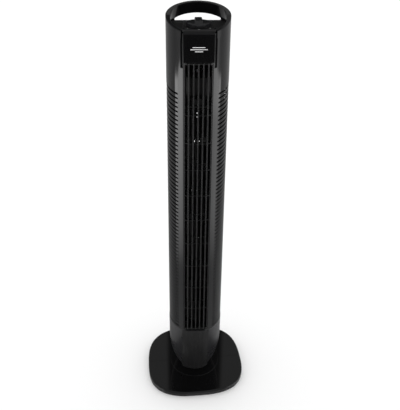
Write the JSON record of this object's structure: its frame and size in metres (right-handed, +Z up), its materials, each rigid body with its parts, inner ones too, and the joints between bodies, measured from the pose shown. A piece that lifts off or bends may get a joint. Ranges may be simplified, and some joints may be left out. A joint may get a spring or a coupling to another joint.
{
  "type": "tower fan",
  "caption": "Slim round column fan: louvred back, barred front outlet, crossflow rotor inside, tilted knob deck under a carrying hoop, turning on a rounded flat base.",
  "frame": {"origin": "on the swivel axis, at the level of the surface the fan stands on", "axes": "+Z up along the tower; -Y is the front, where the air comes out; +X is to the right seen from the front"},
  "size_m": [0.2361, 0.2228, 0.9715],
  "materials": {
    "casing_gloss": "moulded black plastic, high gloss",
    "base_gloss": "moulded black plastic, mirror gloss top",
    "plate_gloss": "piano black plastic",
    "knob_gloss": "black plastic, semi gloss",
    "grille_satin": "black plastic, satin",
    "deck_satin": "black plastic, satin",
    "inner_plastic": "glass-filled black plastic",
    "bearing_plastic": "natural acetal",
    "pale_mark": "pale grey print",
    "rubber": "moulded rubber",
    "steel": "zinc plated steel",
    "laminations": "stacked steel sheet"
  },
  "bodies": {
    "stand": {"base_front_half": "base_gloss", "base_rear_half": "base_gloss", "rubber_feet": "rubber", "swivel_post": "bearing_plastic", "clamp_screws": "steel", "swivel_disc": "base_gloss", "thrust_washer": "bearing_plastic", "post_collar": "bearing_plastic", "slotted_arm": "bearing_plastic", "cord_inlet": "rubber"},
    "tower": {"lower_casing": "casing_gloss", "lower_column": "grille_satin", "foot_plate": "inner_plastic", "swivel_bush": "bearing_plastic", "oscillation_bracket": "inner_plastic", "oscillation_motor": "steel", "rear_casing": "casing_gloss", "front_casing": "casing_gloss", "front_grille": "grille_satin", "front_plate": "plate_gloss", "plate_mark": "pale_mark", "top_hoop": "casing_gloss", "control_deck": "deck_satin", "position_marks": "pale_mark", "rotary_switch": "inner_plastic", "bearing_plate": "inner_plastic", "bearing_boot": "rubber", "lower_bearing": "steel", "motor_lower_cup": "inner_plastic", "motor_upper_cup": "inner_plastic", "motor_stator": "laminations", "motor_bearings": "steel", "motor_bracket": "inner_plastic", "run_capacitor": "bearing_plastic", "terminal_block": "inner_plastic", "air_guide_left": "inner_plastic", "air_guide_right": "inner_plastic", "casing_screws": "steel"},
    "rotor": {"crossflow_rotor": "inner_plastic", "rotor_pin": "steel", "motor_shaft": "steel", "motor_rotor_core": "laminations"},
    "knob": {"speed_knob": "knob_gloss"},
    "crank": {"oscillation_crank": "bearing_plastic"}
  },
  "joints": [
    {"name": "tower_swivel", "type": "hinge", "parent": "stand", "child": "tower", "pos_m": [0, 0, 0.016], "axis": [0, 0, 1], "range_deg": [-35.5, 44.5]},
    {"name": "rotor_spin", "type": "hinge", "parent": "tower", "child": "rotor", "pos_m": [0, 0, 0.188], "axis": [0, 0, 1], "continuous": true},
    {"name": "knob_turn", "type": "hinge", "parent": "tower", "child": "knob", "pos_m": [0, -0.016, 0.9531], "axis": [0, 0.2504, 0.9681], "range_deg": [-90, 45]},
    {"name": "crank_spin", "type": "hinge", "parent": "tower", "child": "crank", "pos_m": [0, 0.032, 0.078], "axis": [0, 0, 1], "continuous": true}
  ]
}
